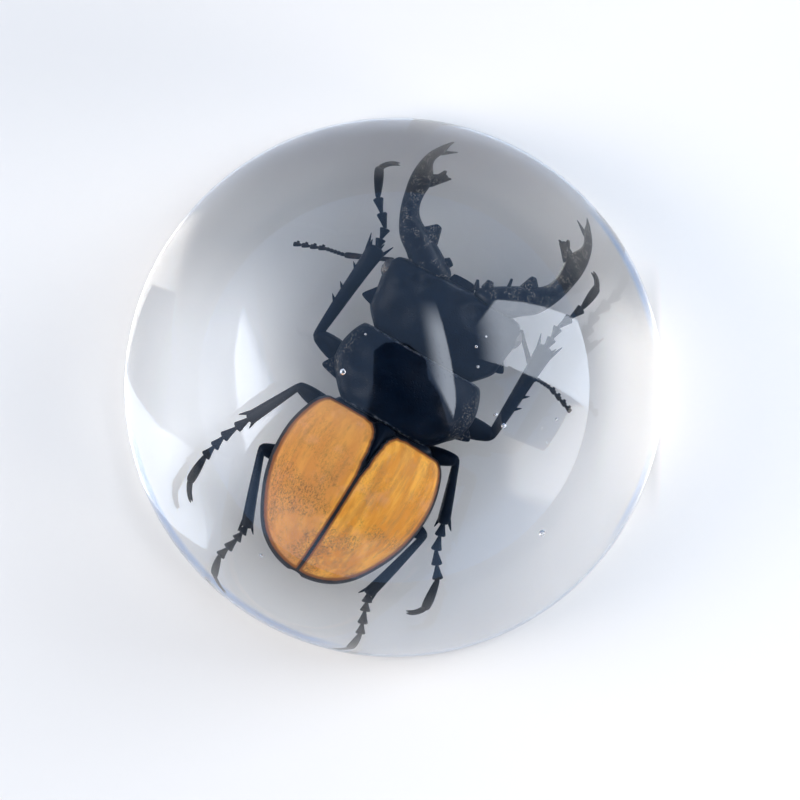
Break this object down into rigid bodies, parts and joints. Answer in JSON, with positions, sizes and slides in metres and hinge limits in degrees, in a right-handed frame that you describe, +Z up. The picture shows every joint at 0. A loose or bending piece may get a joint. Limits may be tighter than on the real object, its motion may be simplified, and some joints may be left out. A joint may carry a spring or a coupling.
{
  "type": "stag beetle in clear resin dome",
  "caption": "Clear resin dome with a flat base, cast around a long-jawed golden stag beetle, to rest on a desk.",
  "frame": {"origin": "middle of the dome's flat round base, on the surface that it rests on", "axes": "+Z up through the dome's top, +Y the way the beetle faces, +X the beetle's right side"},
  "size_m": [0.09, 0.09, 0.045],
  "materials": {
    "clear_resin": "water-clear cast resin, polished",
    "black_cuticle": "smooth black insect cuticle, softly glossy, finely pitted",
    "golden_wing_case": "golden ochre insect cuticle with long brown streaks and a black edge, satin"
  },
  "bodies": {
    "root": {"resin_dome": "clear_resin", "resin_base": "clear_resin", "head": "black_cuticle", "pronotum": "black_cuticle", "wing_case_left": "golden_wing_case", "wing_case_right": "golden_wing_case", "hind_body": "black_cuticle", "mandible_left": "black_cuticle", "mandible_right": "black_cuticle", "antenna_left": "black_cuticle", "antenna_right": "black_cuticle", "front_leg_left": "black_cuticle", "front_leg_right": "black_cuticle", "middle_leg_left": "black_cuticle", "middle_leg_right": "black_cuticle", "hind_leg_left": "black_cuticle", "hind_leg_right": "black_cuticle"}
  },
  "joints": []
}
